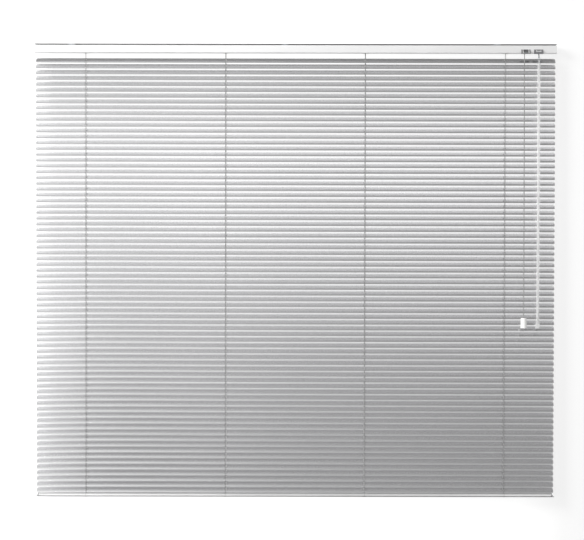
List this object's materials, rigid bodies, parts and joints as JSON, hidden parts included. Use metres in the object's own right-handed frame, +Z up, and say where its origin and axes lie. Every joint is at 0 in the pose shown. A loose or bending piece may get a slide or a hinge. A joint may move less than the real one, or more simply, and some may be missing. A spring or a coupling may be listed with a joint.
{
  "type": "venetian blind",
  "caption": "Aluminium venetian blind with narrow crowned slats on ladders, a channel headrail with tilt wand and pull cord, and a bottom rail, for ceiling brackets.",
  "frame": {"origin": "screw hole of the middle bracket, on its ceiling face", "axes": "+X to the right seen from the room, -Y towards the room, +Z up along the screw"},
  "size_m": [1.8, 0.0477, 1.5646],
  "materials": {
    "headrail_enamel": "silver-white stove enamel, satin",
    "white_plastic": "moulded white, satin",
    "grey_plastic": "moulded dark grey",
    "zinc_steel": "zinc plated",
    "brass": "turned",
    "gear_plastic": "moulded natural",
    "clear_acrylic": "clear, polished",
    "silver_lacquer": "silver coil lacquer, satin",
    "polyester_cord": "braided, pale grey"
  },
  "bodies": {
    "headrail_frame": {"headrail": "headrail_enamel", "headrail_cap_left": "white_plastic", "headrail_cap_right": "white_plastic", "bracket_left": "zinc_steel", "bracket_middle": "zinc_steel", "bracket_right": "zinc_steel", "drum_cradle_1": "white_plastic", "drum_cradle_2": "white_plastic", "drum_cradle_3": "white_plastic", "drum_cradle_4": "white_plastic", "tilter_housing": "grey_plastic", "cord_lock_housing": "grey_plastic", "cord_lock_pin": "zinc_steel", "slats": "silver_lacquer", "ladder_1": "polyester_cord", "ladder_2": "polyester_cord", "ladder_3": "polyester_cord", "ladder_4": "polyester_cord", "lift_cord_1": "polyester_cord", "lift_cord_2": "polyester_cord", "lift_cord_3": "polyester_cord", "lift_cord_4": "polyester_cord", "headrail_cord_1": "polyester_cord", "headrail_cord_2": "polyester_cord", "headrail_cord_3": "polyester_cord", "headrail_cord_4": "polyester_cord", "pull_cord": "polyester_cord"},
    "bottom_rail_set": {"bottom_rail": "headrail_enamel", "rail_cap_left": "grey_plastic", "rail_cap_right": "grey_plastic", "rail_button_1": "white_plastic", "rail_button_2": "white_plastic", "rail_button_3": "white_plastic", "rail_button_4": "white_plastic"},
    "tassel": {"cord_tassel": "white_plastic"},
    "tilt_shaft": {"tilt_rod": "zinc_steel", "worm_wheel": "gear_plastic", "ladder_drum_1": "white_plastic", "ladder_drum_2": "white_plastic", "ladder_drum_3": "white_plastic", "ladder_drum_4": "white_plastic"},
    "worm": {"tilter_worm": "zinc_steel"},
    "wand_link": {"wand_hook": "zinc_steel"},
    "wand_set": {"wand": "clear_acrylic", "wand_grip": "clear_acrylic"},
    "lock_roller": {"cord_lock_roller": "brass"},
    "latch_left": {"bracket_latch_left": "zinc_steel"},
    "latch_middle": {"bracket_latch_middle": "zinc_steel"},
    "latch_right": {"bracket_latch_right": "zinc_steel"}
  },
  "joints": [
    {"name": "lift", "type": "slide", "parent": "headrail_frame", "child": "bottom_rail_set", "axis": [0, 0, 1], "range_m": [0, 1.42], "deforming": ["slats", "ladder_1", "ladder_2", "ladder_3", "ladder_4", "lift_cord_1", "lift_cord_2", "lift_cord_3", "lift_cord_4"]},
    {"name": "cord_pull", "type": "slide", "parent": "headrail_frame", "child": "tassel", "axis": [0, 0, -1], "range_m": [0, 1.42], "deforming": ["pull_cord"]},
    {"name": "tilt_turn", "type": "hinge", "parent": "headrail_frame", "child": "tilt_shaft", "pos_m": [0.036, 0.00243, -0.01969], "axis": [1, 0, 0], "range_deg": [-200, 35]},
    {"name": "worm_turn", "type": "hinge", "parent": "headrail_frame", "child": "worm", "pos_m": [0.872, -0.022, -0.046], "axis": [0, 0.5, 0.866], "range_deg": [-2400, 420]},
    {"name": "wand_turn", "type": "hinge", "parent": "headrail_frame", "child": "wand_link", "pos_m": [0.872, -0.022, -0.046], "axis": [0, 0, 1], "range_deg": [-2400, 420]},
    {"name": "wand_swing", "type": "hinge", "parent": "wand_link", "child": "wand_set", "pos_m": [0.872, -0.022, -0.05935], "axis": [-1, 0, 0], "range_deg": [0, 75]},
    {"name": "lock_roller_rise", "type": "slide", "parent": "headrail_frame", "child": "lock_roller", "axis": [0, 0.206, 0.9785], "range_m": [0, 0.004]},
    {"name": "latch_left_turn", "type": "hinge", "parent": "headrail_frame", "child": "latch_left", "pos_m": [-0.737, 0.004, -0.007], "axis": [0, 0, 1], "range_deg": [0, 90]},
    {"name": "latch_middle_turn", "type": "hinge", "parent": "headrail_frame", "child": "latch_middle", "pos_m": [0, 0.004, -0.007], "axis": [0, 0, 1], "range_deg": [0, 90]},
    {"name": "latch_right_turn", "type": "hinge", "parent": "headrail_frame", "child": "latch_right", "pos_m": [0.73, 0.004, -0.007], "axis": [0, 0, 1], "range_deg": [0, 90]}
  ],
  "couplings": [
    {"joint": "cord_pull", "follows": "lift", "ratio": 1},
    {"joint": "worm_turn", "follows": "wand_turn", "ratio": 1},
    {"joint": "tilt_turn", "follows": "wand_turn", "ratio": 0.083333}
  ]
}
